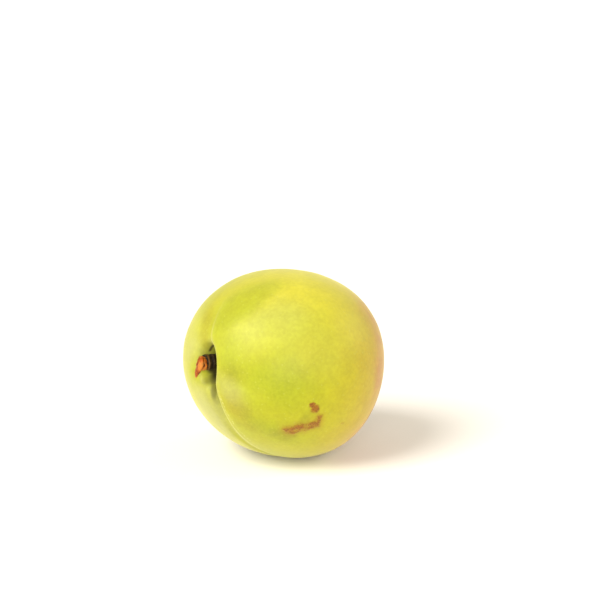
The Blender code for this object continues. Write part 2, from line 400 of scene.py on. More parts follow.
# painted highlight on the strap's upper edge
STRAP_EDGE_HIGHLIGHT = (
    ("along", Fade(0.42, 0.48)),
    ("along", Fade(0.70, 0.60)),
    ("to_cheek", Fade(0.0004, 0.0012)),
)
# the hook's pale point, its own colour
HOOK_POINT = (("along", Fade(0.86, 0.96)),)
TORN_SHADES = (
    ("torn_dark_and_shade", 0.5, COLLAR_FOOT_SHADE),
    ("torn_dark_and_shade", 0.95, BROKEN_FACE_SHADE),
    ("torn_dark_and_shade", 0.5, HOOK_SIDE_SHADE),
    ("torn_pale_and_highlight", 0.5, COLLAR_RIM_HIGHLIGHT),
    ("torn_pale_and_highlight", 0.45, STRAP_EDGE_HIGHLIGHT),
    ("torn_pale_and_highlight", 0.5, HOOK_POINT),
)

# Floor: its grain, how much darker the grain makes it, and its roughness.
FLOOR_GRAIN = (0.05, 2)
FLOOR_SHADE = 0.985
FLOOR_ROUGHNESS = 0.7

# Numbers of the Mix node's colour sockets.
MIX_FIRST = 6
MIX_SECOND = 7
MIX_RESULT = 2


def lay_rotation():
    """Turns the fruit's own frame to the way it lies."""
    stalk = Vector((-math.cos(STALK_RISE), 0, math.sin(STALK_RISE)))
    under = Vector((-math.sin(STALK_RISE), 0, -math.cos(STALK_RISE)))
    seam = math.cos(SEAM_ROLL) * under + math.sin(SEAM_ROLL) * Vector((0, -1, 0))
    cheek = stalk.cross(seam)
    return Matrix((seam, cheek, stalk)).transposed()


def body_radius(body, seam_way, cheek_way, stalk_way):
    """Distance from the middle to the plain body, along a unit direction."""
    narrowing = 1 - body.taper * stalk_way
    spread = np.abs(seam_way / (body.half_thickness * narrowing)) ** BODY_POWER
    spread += np.abs(cheek_way / (body.half_width * narrowing)) ** BODY_POWER
    spread += np.abs(stalk_way / body.half_length) ** BODY_POWER
    radius = spread ** (-1 / BODY_POWER)
    for from_stalk, from_seam, height in SWELLS:
        polar = math.radians(from_stalk)
        turn = math.radians(from_seam)
        closeness = seam_way * math.sin(polar) * math.cos(turn)
        closeness += cheek_way * math.sin(polar) * math.sin(turn)
        closeness += stalk_way * math.cos(polar)
        away = np.arccos(np.clip(closeness, -1, 1))
        radius += height * np.exp(-((away / SWELL_REACH) ** 2) / 2)
    return radius


def cavity_sink(body, to_seam, to_cheek):
    """How far the stem cavity sinks the skin, down the stalk's line."""
    seam_reach = np.where(to_seam > 0, CAVITY_TO_SEAM, CAVITY_TO_BACK)
    cheek_reach = np.where(to_cheek > 0, CAVITY_TO_FULL_CHEEK, CAVITY_TO_FLAT_CHEEK)
    out = np.hypot(to_seam / seam_reach, to_cheek / cheek_reach)
    slackness = np.maximum(-to_cheek, 0) / np.maximum(np.hypot(to_seam, to_cheek), TINY)
    power = CAVITY_STEEP_POWER + (CAVITY_SLACK_POWER - CAVITY_STEEP_POWER) * slackness
    return body.cavity_depth / (1 + out ** power)


def seam_sink(body, polar, to_seam, to_cheek):
    """How far the seam and the furrow opposite sink the skin, towards the middle."""
    seam_side = (1 + np.tanh(to_seam / SIDE_BLEND)) / 2
    off_seam = to_cheek - SEAM_OFFSET * (1 + np.cos(polar)) / 2
    across = np.abs(off_seam) / np.where(off_seam > 0, SEAM_TO_FULL_CHEEK, SEAM_TO_FLAT_CHEEK)
    deepening = np.exp(-(((polar - SEAM_DEEPEST_AT) / SEAM_DEEP_REACH) ** 2))
    seam = (SEAM_SHALLOW + body.seam_depth * deepening) / (1 + across ** GROOVE_POWER)
    across = np.abs(to_cheek) / np.where(to_cheek > 0, FURROW_TO_FULL_CHEEK, FURROW_TO_FLAT_CHEEK)
    deepening = np.exp(-(((polar - FURROW_DEEPEST_AT) / FURROW_REACH) ** 2))
    furrow = FURROW_DEPTH * deepening / (1 + across ** GROOVE_POWER)
    return seam_side * seam + (1 - seam_side) * furrow


def skin_points(body, polar, turn):
    """Points of the skin in the fruit's own frame, for angles from the stalk and the seam."""
    seam_way = np.sin(polar) * np.cos(turn)
    cheek_way = np.sin(polar) * np.sin(turn)
    stalk_way = np.cos(polar)
    radius = body_radius(body, seam_way, cheek_way, stalk_way)
    radius -= seam_sink(body, polar, radius * seam_way, radius * cheek_way)
    to_seam = radius * seam_way
    to_cheek = radius * cheek_way
    to_stalk = radius * stalk_way
    off_axis = np.hypot(to_seam, to_cheek)
    sink = cavity_sink(body, to_seam, to_cheek)
    dip = TIP_DIP * np.exp(-((off_axis / TIP_DIP_REACH) ** 2))
    dip -= TIP_NUB * np.exp(-((off_axis / TIP_NUB_REACH) ** 2))
    to_stalk = np.where(stalk_way > 0, to_stalk - sink, to_stalk + dip)
    return np.stack([to_seam, to_cheek, to_stalk], axis=1)


def skin_place(body, from_stalk, from_seam, lean=0.0):
    """A point of the skin, and a matrix of the axes along the lean, across it and outwards."""
    polar = math.radians(from_stalk)
    turn = math.radians(from_seam)
    point = Vector(skin_points(body, np.array([polar]), np.array([turn]))[0])
    to_seam = math.cos(turn)
    to_cheek = math.sin(turn)
    outwards = Vector((math.sin(polar) * to_seam, math.sin(polar) * to_cheek, math.cos(polar)))
    tipwards = Vector((math.cos(polar) * to_seam, math.cos(polar) * to_cheek, -math.sin(polar)))
    along = Matrix.Rotation(math.radians(lean), 3, outwards) @ tipwards
    return point, Matrix((along, outwards.cross(along), outwards)).transposed()


def laid_frame(body):
    """Where the fruit's own frame lies, found by fitting the skin to its solid's box."""
    rings = np.linspace(0, math.pi, GRID_RINGS)
    lines = np.linspace(-math.pi, math.pi, GRID_LINES)
    polar, turn = np.meshgrid(rings, lines)
    rotation = lay_rotation()
    points = skin_points(body, polar.ravel(), turn.ravel()) @ np.array(rotation).T
    low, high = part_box("fruit")
    origin = (low + high - Vector(points.min(axis=0)) - Vector(points.max(axis=0))) / 2
    origin.z = high.z - points[:, 2].max()
    return Matrix.Translation(origin) @ rotation.to_4x4()


def lay_skin(points, laid):
    """Lays the skin down, presses its lowest spot flat on the floor and fills the solid's box."""
    points = points @ np.array(laid.to_3x3()).T + np.array(laid.translation)
    points[:, 2] = PRESS_SOFTNESS * np.logaddexp(0, points[:, 2] / PRESS_SOFTNESS)
    low, high = (np.array(corner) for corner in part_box("fruit"))
    own_low = points.min(axis=0)
    own_high = points.max(axis=0)
    return low + (points - own_low) * (high - low) / (own_high - own_low)


def stalk_radius(stalk, along):
    """Radius of the stub at a share of its length from the foot."""
    flare = stalk.foot_radius + (stalk.end_radius - stalk.foot_radius) * math.sqrt(along)
    ridge = (1 - math.cos(2 * math.pi * STALK_RIDGES * along)) / 2
    return flare + STALK_RIDGE_HEIGHT * ridge


def stub_frame(laid, stalk):
    """Where the stub's own frame lies, with +Z along the stub and the middle of its end at zero."""
    end = Matrix.Translation(Vector((0, 0, stalk.end_height)) + STALK_SHIFT)
    lean = Matrix.Rotation(LEAN_TO_FLAT_CHEEK, 4, "X") @ Matrix.Rotation(LEAN_TO_SEAM, 4, "Y")
    return laid @ end @ lean


def bark_frame(laid, stalk):
    """Where the torn bark's own frame lies: the stub's, tilted as its break slants."""
    return stub_frame(laid, stalk) @ Matrix.Rotation(BREAK_SLANT, 4, "Y")


def slant_break(points):
    """Slants the stub's end, in the stub's frame, so that its lower side is the shorter one."""
    share = np.clip(1 + points[:, 2] / BREAK_REACH, 0, 1) ** 2
    points[:, 2] -= math.tan(BREAK_SLANT) * points[:, 0] * share
    return points


def through_knots(knots, along):
    """Values on a smooth line through evenly spaced knots, at shares of its length."""
    ends = (2 * knots[0] - knots[1], 2 * knots[-1] - knots[-2])
    padded = np.vstack([ends[0], knots, ends[1]])
    place = np.clip(along, 0, 1) * (len(knots) - 1)
    first = np.minimum(place.astype(int), len(knots) - 2)
    share = (place - first)[:, None]
    before, start, end, after = (padded[first + step] for step in range(4))
    line = 2 * start + (end - before) * share
    line += (2 * before - 5 * start + 4 * end - after) * share ** 2
    line += (3 * start - before - 3 * end + after) * share ** 3
    return line / 2


def torn_bark_points(along, around):
    """Points of the torn bark in its own frame, along it and around from the seam's side."""
    knots = np.array(BARK_KNOTS)
    line = through_knots(knots, along)
    ahead = through_knots(knots, along + BARK_STEP)
    behind = through_knots(knots, along - BARK_STEP)
    forward = ahead[:, :3] - behind[:, :3]
    forward /= np.linalg.norm(forward, axis=1)[:, None]
    cheekwards = np.array((0, 1, 0)) - forward * forward[:, 1:2]
    cheekwards /= np.linalg.norm(cheekwards, axis=1)[:, None]
    seamwards = np.cross(cheekwards, forward)
    swell = 1 + BARK_FIBRE_HEIGHT * np.cos(BARK_FIBRES * around + BARK_FIBRE_TURN * along)
    for from_end in (along, 1 - along):
        swell *= np.sqrt(1 - np.clip(1 - from_end / BARK_ROUND_END, 0, 1) ** 2)
    points = line[:, :3] + (line[:, 3] * np.cos(around) * swell)[:, None] * seamwards
    points += (line[:, 4] * np.sin(around) * swell)[:, None] * cheekwards
    return points + np.array((0, 0, BARK_GAP))


def read_points(mesh):
    """The points of a mesh, one row each."""
    points = np.zeros(len(mesh.vertices) * 3)
    mesh.vertices.foreach_get("co", points)
    return points.reshape(-1, 3)


def write_points(mesh, points):
    """Moves the points of a mesh to the places in the rows."""
    mesh.vertices.foreach_set("co", np.ascontiguousarray(points, dtype=np.float32).ravel())
    mesh.update()


def start_piece(name, add, **sizes):
    """Adds a primitive with nothing else selected, and names it."""
    bpy.ops.object.select_all(action="DESELECT")
    add(**sizes)
    piece = bpy.context.active_object
    piece.name = name
    piece.data.name = name
    return piece


def roughen(piece, name, grain, height):
    """Pushes the surface in and out by a cloudy pattern, and applies all the modifiers."""
    texture = bpy.data.textures.new(name, "CLOUDS")
    texture.noise_scale = grain
    displace = piece.modifiers.new(name, "DISPLACE")
    displace.texture = texture
    displace.texture_coords = "LOCAL"
    displace.strength = height
    for modifier in list(piece.modifiers):
        bpy.ops.object.modifier_apply(modifier=modifier.name)


def finish_piece(piece, node, material):
    """Gives the piece its material, hangs it under the root and hides the solid it stands for."""
    piece.data.materials.clear()
    piece.data.materials.append(material)
    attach(piece, "root")
    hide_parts(node)


class Finish:
    """A material's node tree, built with one short call a node."""

    def __init__(self, name):
        self.material = bpy.data.materials.new(name)
        self.material.use_nodes = True
        self.tree = self.material.node_tree
        self.shader = self.tree.nodes["Principled BSDF"]

    def feed(self, socket, value):
        if isinstance(value, NodeSocket):
            self.tree.links.new(value, socket)
        else:
            socket.default_value = value

    def node(self, kind, inputs, **settings):
        made = self.tree.nodes.new("ShaderNode" + kind)
        for name, value in settings.items():
            setattr(made, name, value)
        for name, value in inputs.items():
            self.feed(made.inputs[name], value)
        return made

    def set(self, **values):
        """Sets the shader's own sockets: an underscore in a name stands for a space."""
        for name, value in values.items():
            self.feed(self.shader.inputs[name.replace("_", " ")], value)

    def local(self, where, origin, axes, size=(1, 1, 1)):
        """Coordinates along the axes of a place, in units of its size."""
        inputs = {"Vector": where, "Location": origin, "Rotation": axes.to_euler(), "Scale": size}
        return self.node("Mapping", inputs, vector_type="TEXTURE").outputs["Vector"]

    def own_place(self, own_frame):
        """Coordinates in a piece's own frame, in metres."""
        row = self.node("TexCoord", {}).outputs["Object"]
        return self.local(row, own_frame.translation, own_frame.to_3x3())

    def math(self, operation, first, second=0.0):
        return self.node("Math", {0: first, 1: second}, operation=operation).outputs["Value"]

    def product(self, first, *others):
        for other in others:
            first = self.math("MULTIPLY", first, other)
        return first

    def off(self, value, middle):
        """How far a value is from a middle one, on either side."""
        return self.math("ABSOLUTE", self.math("SUBTRACT", value, middle))

    def clamped(self, value):
        return self.node("Clamp", {"Value": value}).outputs["Result"]

    def vector(self, operation, first, second=(0, 0, 0), output="Vector"):
        return self.node("VectorMath", {0: first, 1: second}, operation=operation).outputs[output]

    def scaled(self, vector, share):
        inputs = {0: vector, "Scale": share}
        return self.node("VectorMath", inputs, operation="SCALE").outputs["Vector"]

    def axes(self, vector):
        return self.node("SeparateXYZ", {"Vector": vector}).outputs

    def ramp(self, value, start, end, low=0.0, high=1.0):
        """Runs smoothly from low at start to high at end."""
        inputs = {"Value": value, "From Min": start, "From Max": end, "To Min": low, "To Max": high}
        return self.node("MapRange", inputs, interpolation_type="SMOOTHSTEP").outputs["Result"]

    def noise(self, where, grain, detail=2.0, output="Fac"):
        """Noise with features about one grain wide, in metres."""
        inputs = {"Vector": where, "Scale": 1 / grain, "Detail": detail}
        return self.node("TexNoise", inputs).outputs[output]

    def cells(self, where, spacing):
        """Distance to the nearest of many scattered points, as a share of their spacing."""
        return self.node("TexVoronoi", {"Vector": where, "Scale": 1 / spacing}).outputs["Distance"]

    def mix(self, share, first, second, blend="MIX"):
        inputs = {0: share, MIX_FIRST: first, MIX_SECOND: second}
        made = self.node("Mix", inputs, data_type="RGBA", blend_type=blend)
        return made.outputs[MIX_RESULT]

    def bump(self, height, distance, strength, under=None):
        """Raises the surface by a height from 0 to 1 times a distance, on top of another bump."""
        made = self.node("Bump", {"Height": height, "Distance": distance, "Strength": strength})
        if under is not None:
            self.feed(made.inputs["Normal"], under)
        return made.outputs["Normal"]

    def wander(self, where, grain, reach):
        """The same place, shifted a little by noise, so that what is painted has uneven edges."""
        shift = self.vector("SUBTRACT", self.noise(where, grain, output="Color"), (0.5, 0.5, 0.5))
        return self.vector("ADD", where, self.scaled(shift, reach))

    def patch(self, where, body, patch):
        """1 inside an oval on the skin, 0 outside it."""
        point, axes = skin_place(body, patch.from_stalk, patch.from_seam, patch.lean)
        near = self.local(where, point, axes, (patch.half_length, patch.half_width, PATCH_DEPTH))
        out = self.vector("LENGTH", near, output="Value")
        return self.ramp(out, 1 + patch.softness, 1 - patch.softness)

    def strand_distance(self, where, knots):
        """Distance to a line through the knots, in metres."""
        nearest = None
        for start, end in zip(knots, knots[1:]):
            run = end - start
            offset = self.vector("SUBTRACT", where, start)
            share = self.vector("DOT_PRODUCT", offset, run / run.length_squared, output="Value")
            gap = self.vector("SUBTRACT", offset, self.scaled(run, self.clamped(share)))
            distance = self.vector("LENGTH", gap, output="Value")
            nearest = distance if nearest is None else self.math("MINIMUM", nearest, distance)
        return nearest


def ground_color(paint, look, body, place, mottle):
    """The skin under its marks: ripe to green with patches, blush, red streaks and fine dots."""
    loose = paint.wander(place, *LOOSE_EDGE)
    color = paint.mix(paint.ramp(mottle, *MOTTLE_FADE), look.ripe, look.green)
    for name, share, patch in BROAD_PATCHES:
        here = paint.product(paint.patch(loose, body, patch), share)
        color = paint.mix(here, color, getattr(look, name))

    streaks = paint.noise(paint.vector("MULTIPLY", place, STREAK_STRETCH), *STREAK_GRAIN)
    for name, share, patch in BLUSH_PATCHES:
        blush = paint.patch(loose, body, patch)
        color = paint.mix(paint.product(blush, share), color, getattr(look, name))
        inner = paint.ramp(blush, *STREAK_REACH)
        deep = paint.product(inner, paint.ramp(streaks, *STREAK_FADE), share)
        color = paint.mix(deep, color, look.deep_blush)

    for grain, fade in ((SPECKLE_GRAIN, SPECKLE_FADE), (CLOUD_GRAIN, CLOUD_FADE)):
        shade = paint.ramp(paint.noise(place, *grain), *fade)
        color = paint.mix(1.0, color, shade, "MULTIPLY")
    fine = paint.ramp(paint.noise(place, *FINE_GRAIN), *FINE_FADE)
    color = paint.mix(fine, color, look.bright)
    dots = paint.ramp(paint.cells(place, DOT_SPACING), *DOT_FADE)
    return paint.mix(dots, color, look.dots)


def add_russet(paint, look, body, place, color):
    """Adds the scar with its hook and the spots, and returns the colour and the russet's share."""
    frayed = paint.wander(place, *FRAYED_EDGE)
    knots = [skin_place(body, *knot)[0] for knot in RUSSET_SCAR]
    off_scar = paint.strand_distance(frayed, knots[:SCAR_HOOK_FROM + 1])
    off_hook = paint.strand_distance(frayed, knots[SCAR_HOOK_FROM:])
    off_scar = paint.math("MINIMUM", off_scar, paint.math("ADD", off_hook, SCAR_HOOK_NARROWING))
    color = paint.mix(paint.ramp(off_scar, *SCAR_HALO), color, look.russet)

    crumbs = paint.ramp(paint.noise(place, *CRUMB_GRAIN), *CRUMB_FADE)
    russet = paint.product(paint.ramp(off_scar, *SCAR_EDGE), crumbs)
    for share, patch in RUSSET_SPOTS:
        spot = paint.product(paint.patch(frayed, body, patch), share)
        russet = paint.math("MAXIMUM", russet, spot)
    color = paint.mix(russet, color, look.russet)
    specks = paint.ramp(paint.noise(place, *SPECK_GRAIN), *SPECK_FADE)
    return paint.mix(paint.product(russet, specks), color, look.russet_dark), russet


def add_beads(paint, look, place, color):
    """Adds the row of pale beads on the seam's lip."""
    to_seam, to_cheek, to_stalk = paint.axes(place)
    beads = paint.product(
        paint.ramp(paint.off(to_cheek, BEADS_TO_CHEEK), *BEADS_EDGE),
        paint.ramp(to_seam, *BEADS_OFF_STALK),
        paint.ramp(paint.cells(place, BEAD_SPACING), *BEAD_FADE),
        paint.ramp(to_stalk, *BEADS_END),
        BEADS_SHARE,
    )
    return paint.mix(beads, color, look.cork)


def add_hollows(paint, look, body, place, color):
    """Paints the cavity green with painted shade, its ring, painted shade in its slot, and the tip."""
    ways = paint.axes(place)
    to_seam = ways[0]
    to_stalk = ways[2]
    stalk_way = paint.axes(paint.vector("NORMALIZE", place))[2]
    off_axis = paint.vector("LENGTH", paint.vector("MULTIPLY", place, (1, 1, 0)), output="Value")

    rim = body.half_length - CAVITY_RIM_DROP
    floor = body.half_length - body.cavity_depth
    # Green of the cavity, darkened as painted shade deeper in the hollow.
    inside = paint.product(
        paint.ramp(to_stalk, rim, floor),
        paint.ramp(off_axis, *CAVITY_REACH),
        paint.ramp(to_stalk, *CAVITY_END),
        CAVITY_SHARE,
    )
    color = paint.mix(inside, color, look.cavity)
    ring = paint.product(
        paint.ramp(paint.off(to_stalk, body.half_length - RING_DROP), *RING_EDGE),
        paint.ramp(off_axis, *RING_REACH),
        paint.ramp(to_seam, *RING_SIDE),
        RING_SHARE,
    )
    color = paint.mix(ring, color, look.cavity_ring)

    # Painted shade down the slot at the seam, darkest along a line through the knots.
    knots = [Vector(knot) for knot in SLOT_SHADE_KNOTS]
    reach = paint.ramp(to_seam, *SLOT_SHADE_REACH)
    slot = paint.product(
        paint.ramp(paint.strand_distance(place, knots), reach, SLOT_SHADE_CORE),
        paint.ramp(to_seam, *SLOT_SHADE_FADE),
        paint.ramp(to_seam, *SLOT_SHADE_END),
    )
    color = paint.mix(slot, color, look.slot)
    tip = paint.product(paint.ramp(off_axis, *TIP_REACH), paint.ramp(stalk_way, *TIP_SIDE))
    return paint.mix(tip, color, look.russet)


def skin_finish(look, body, laid):
    """Velvety skin with its marks, and a fine bump for its down and the crust of its russet."""
    paint = Finish("skin")
    place = paint.own_place(laid)
    mottle = paint.noise(place, *MOTTLE_GRAIN)
    color = ground_color(paint, look, body, place, mottle)
    color, russet = add_russet(paint, look, body, place, color)
    color = add_beads(paint, look, place, color)
    color = add_hollows(paint, look, body, place, color)
    height = paint.bump(paint.noise(place, *DOWN_GRAIN), *DOWN_BUMP)
    height = paint.bump(mottle, *MOTTLE_BUMP, height)
    height = paint.bump(russet, *RUSSET_BUMP, height)
    paint.set(
        Base_Color=color,
        Roughness=look.roughness,
        Specular_IOR_Level=look.gloss,
        Normal=height,
        Subsurface_Weight=look.softness,
        Subsurface_Radius=SOFT_REACH,
        Subsurface_Scale=look.soft_depth,
        Sheen_Weight=look.bloom,
        Sheen_Roughness=look.bloom_spread,
        Sheen_Tint=(*look.bloom_tint, 1),
    )
    return paint.material


def stalk_finish(stalk, own_frame):
    """Dark brown bark with paler rings, flakes, and a tan ring near its end."""
    paint = Finish("stalk_bark")
    place = paint.own_place(own_frame)
    along = paint.axes(place)[2]
    rings = paint.noise(paint.vector("MULTIPLY", place, STALK_RING_STRETCH), *STALK_RING_GRAIN)
    flakes = paint.noise(place, *FLAKE_GRAIN)
    color = paint.mix(paint.ramp(rings, *STALK_RING_FADE), stalk.bark, stalk.worn_bark)
    color = paint.mix(paint.ramp(flakes, *FLAKE_FADE), color, stalk.bark)
    end_ring = paint.ramp(paint.off(along, -END_RING_DROP), *END_RING_FADE)
    color = paint.mix(end_ring, color, stalk.end_ring)
    height = paint.bump(rings, *STALK_RING_BUMP)
    height = paint.bump(flakes, *FLAKE_BUMP, height)
    paint.set(
        Base_Color=color,
        Roughness=STALK_ROUGHNESS,
        Specular_IOR_Level=STALK_GLOSS,
        Normal=height,
    )
    return paint.material


def torn_bark_finish(stalk, own_frame):
    """Orange torn bark with fibres, painted shade in its folds, painted highlights, a pale point."""
    paint = Finish("torn_bark")
    place = paint.own_place(own_frame)
    to_seam, to_cheek = paint.axes(place)[:2]
    along = paint.node("Attribute", {}, attribute_name=BARK_ALONG).outputs["Fac"]
    ways = {"along": along, "to_cheek": to_cheek, "to_seam": to_seam}
    fibres = paint.noise(paint.vector("MULTIPLY", place, FIBRE_STRETCH), *FIBRE_GRAIN)
    color = paint.mix(paint.ramp(fibres, *FIBRE_FADE), stalk.torn, stalk.torn_dark_and_shade)
    for name, share, fades in TORN_SHADES:
        shares = [paint.ramp(ways[way], *fade) for way, fade in fades]
        color = paint.mix(paint.product(*shares, share), color, getattr(stalk, name))
    height = paint.bump(fibres, *FIBRE_BUMP)
    paint.set(
        Base_Color=color,
        Roughness=TORN_ROUGHNESS,
        Specular_IOR_Level=TORN_GLOSS,
        Normal=height,
    )
    return paint.material


def floor_finish(stage):
    """Matt white floor with a breath of unevenness."""
    paint = Finish("floor")
    row = paint.node("TexCoord", {}).outputs["Object"]
    paper = paint.noise(row, *FLOOR_GRAIN)
    shade = [channel * FLOOR_SHADE for channel in stage.floor]
    color = paint.mix(paper, (*stage.floor, 1), (*shade, 1))
    paint.set(Base_Color=color, Roughness=FLOOR_ROUGHNESS)
    return paint.material


def color_property(name, description, default, alpha=True):
    """A colour with its swatch. Node sockets take four numbers, so most colours have an alpha."""
    value = (*default, 1.0) if alpha else default
    return FloatVectorProperty(
        name=name,
        description=description,
        default=value,
        size=len(value),
        subtype="COLOR",
        min=0,
        max=1,
    )


def length_property(name, description, default):
    """A length in metres."""
    return FloatProperty(
        name=name, description=description, default=default, unit="LENGTH", precision=5
    )


def angle_property(name, description, degrees):
    """An angle, given in degrees and kept in radians."""
    return FloatProperty(
        name=name, description=description, default=math.radians(degrees), subtype="ANGLE"
    )


def share_property(name, description, default):
    """A share from none to all."""
    return FloatProperty(
        name=name, description=description, default=default, min=0, max=1, subtype="FACTOR"
    )


def strength_property(name, description, default):
    """A light's strength, from none upwards."""
    return FloatProperty(name=name, description=description, default=default, min=0)


class NectarineBody(PropertyGroup):
    """Sizes of the fruit."""

    half_thickness: length_property("Half thickness", "From the middle to the seam", 0.0307)
    half_width: length_property("Half width", "From the middle to a cheek", 0.0324)
    half_length: length_property("Half length", "From the middle to the shoulders", 0.0324)
    taper: share_property("Taper", "How much the stalk end narrows", 0.018)
    cavity_depth: length_property("Cavity depth", "How deep the stalk's cavity is", 0.0088)
    seam_depth: length_property("Seam depth", "How deep the seam is beside the cavity", 0.0034)
    segments: IntProperty(
        name="Segments", description="Long lines of the plain sphere", default=96, min=16
    )
    rings: IntProperty(
        name="Rings", description="Rings of the plain sphere", default=56, min=12
    )
    cuts: IntProperty(
        name="Cuts", description="Cuts in each of the sphere's edges", default=3, min=0, max=3
    )


class NectarineSkin(PropertyGroup):
    """Colours and feel of the skin."""

    ripe: color_property("Ripe", "Main yellow-green", (0.300, 0.292, 0.003))
    green: color_property("Green", "Less ripe patches", (0.240, 0.265, 0.001))
    # Paler skin of the cheek, and a painted highlight where the key light falls on it
    bright: color_property("Bright", "Palest yellow of the cheek", (0.365, 0.365, 0.030))
    top: color_property("Top", "Warm pale yellow of the upper side", (0.480, 0.425, 0.020))
    ochre: color_property("Ochre", "Deeper yellow towards the tip", (0.385, 0.350, 0.005))
    # Pale bloom of the skin, partly painted sheen
    pale: color_property("Pale", "Pale bloom of the shoulders and cheek", (0.310, 0.300, 0.120))
    # Painted shade, in ochre, in the furrow and beside the seam
    fold_shade: color_property("Fold", "Ochre of the furrow beside the stalk", (0.230, 0.190, 0.006))
    blush: color_property("Blush", "Pink-orange of the sunny side", (0.400, 0.175, 0.020))
    deep_blush: color_property("Deep blush", "Red streaks in the blush", (0.330, 0.070, 0.025))
    dots: color_property("Dots", "Fine pale dots", (0.420, 0.410, 0.080))
    bruise: color_property("Bruise", "Olive shade of the pressed places", (0.180, 0.165, 0.002))
    russet: color_property("Russet", "Brown corky scars", (0.240, 0.084, 0.000))
    russet_dark: color_property("Russet specks", "Darker specks of the scars", (0.120, 0.030, 0.000))
    cork: color_property("Cork", "Pale beads on the seam's lip", (0.50, 0.46, 0.15))
    # Green of the cavity, darker than the skin as painted shade in the hollow
    cavity: color_property("Cavity", "Green inside the cavity", (0.16, 0.18, 0.01))
    cavity_ring: color_property("Cavity ring", "Brown ring in the cavity", (0.040, 0.020, 0.001))
    # Painted shade in the slot from the cavity down the seam
    slot: color_property("Slot", "Dark end of the cavity at the seam", (0.020, 0.013, 0.001))
    roughness: share_property("Roughness", "Roughness of the skin", 0.45)
    gloss: share_property("Gloss", "Strength of the skin's reflections", 0.2)
    bloom: share_property("Bloom", "Pale bloom at grazing angles", 0.38)
    bloom_spread: share_property("Bloom spread", "How far the bloom reaches in", 0.5)
    bloom_tint: color_property("Bloom tint", "Colour of the bloom", (1.0, 0.93, 0.46), alpha=False)
    softness: share_property("Softness", "Share of light that passes under the skin", 0.2)
    soft_depth: length_property("Soft depth", "How far light passes under the skin", 0.002)


class NectarineStalk(PropertyGroup):
    """Sizes and colours of the stub and its torn bark."""

    end_height: length_property("End height", "The stub's end, from the fruit's middle", 0.0322)
    foot_radius: length_property("Foot radius", "Radius at the cavity's floor", 0.0017)
    end_radius: length_property("End radius", "Radius at the broken end", 0.00245)
    bark: color_property("Bark", "Dark bark", (0.009, 0.004, 0.001))
    worn_bark: color_property("Worn bark", "Paler rings", (0.045, 0.026, 0.007))
    end_ring: color_property("End ring", "Tan ring beside the torn bark", (0.150, 0.070, 0.012))
    torn: color_property("Torn bark", "Orange torn bark", (0.360, 0.075, 0.004))
    # Pale orange: painted highlight on the collar's rim and the strap's edge, and the point's own
    # colour
    torn_pale_and_highlight: color_property(
        "Torn bark rim", "Pale orange of its rim and point", (0.560, 0.240, 0.040)
    )
    # Dark red: colour of the fibres, and painted shade on the collar's foot, broken face and hook's
    # side
    torn_dark_and_shade: color_property("Torn bark folds", "Dark red of its folds", (0.055, 0.007, 0.000))


class NectarineStage(PropertyGroup):
    """Floor, light and camera."""

    floor: color_property("Floor", "Colour of the floor", (0.96, 0.92, 0.85), alpha=False)
    floor_size: length_property("Floor size", "Side of the floor", 20.0)
    ambient: strength_property("Ambient", "Strength of the surroundings", 0.5)
    ambient_tint: color_property("Ambient tint", "Colour of the surroundings", (1.0, 0.93, 0.78))
    light: strength_property("Light", "Strength of the soft lights", 1.0)
    light_spread: angle_property("Light spread", "How wide each soft light is", 35)
    azimuth: angle_property("Azimuth", "Where the camera stands", -38.9)
    elevation: angle_property("Elevation", "How high the camera stands", 16)
    distance: length_property("Distance", "From the fruit's middle to the camera", 0.5)
    view_width: length_property("View width", "Width of the view at the fruit's middle", 0.19506)
    across: share_property("Across", "The fruit's place from the view's left edge", 0.4739)
    up: share_property("Up", "The fruit's place from the view's lower edge", 0.3955)


class NectarineSettings(PropertyGroup):
    """All that the panel lists."""

    body: PointerProperty(type=NectarineBody)
    skin: PointerProperty(type=NectarineSkin)
    stalk: PointerProperty(type=NectarineStalk)
    stage: PointerProperty(type=NectarineStage)


class NECTARINE_OT_skin(Operator):
    """Models the skin of the fruit, with its cavity, seam and tip"""

    bl_idname = "nectarine.skin"
    bl_label = "Skin"

    def execute(self, context):
        settings = context.scene.nectarine
        body = settings.body
        laid = laid_frame(body)
        skin = start_piece(
            "nectarine_skin",
            bpy.ops.mesh.primitive_uv_sphere_add,
            segments=body.segments,
            ring_count=body.rings,
            radius=1,
        )
        bpy.ops.object.mode_set(mode="EDIT")
        bpy.ops.mesh.select_all(action="SELECT")
        if body.cuts:
            bpy.ops.mesh.subdivide(number_cuts=body.cuts)
        bpy.ops.object.mode_set(mode="OBJECT")
        sphere = read_points(skin.data)
        sphere /= np.linalg.norm(sphere, axis=1)[:, None]
        ring = np.arccos(np.clip(sphere[:, 2], -1, 1)) / math.pi
        polar = math.pi * (ring - RING_CROWDING * np.sin(2 * math.pi * ring) / (2 * math.pi))
        turn = np.arctan2(sphere[:, 1], sphere[:, 0])
        turn -= SEGMENT_CROWDING * np.sin(2 * turn) / 2
        write_points(skin.data, skin_points(body, polar, turn))
        roughen(skin, "skin_swell", SKIN_SWELL_GRAIN, SKIN_SWELL_HEIGHT)
        write_points(skin.data, lay_skin(read_points(skin.data), laid))
        bpy.ops.object.shade_smooth()
        finish_piece(skin, "fruit", skin_finish(settings.skin, body, laid))
        return {"FINISHED"}


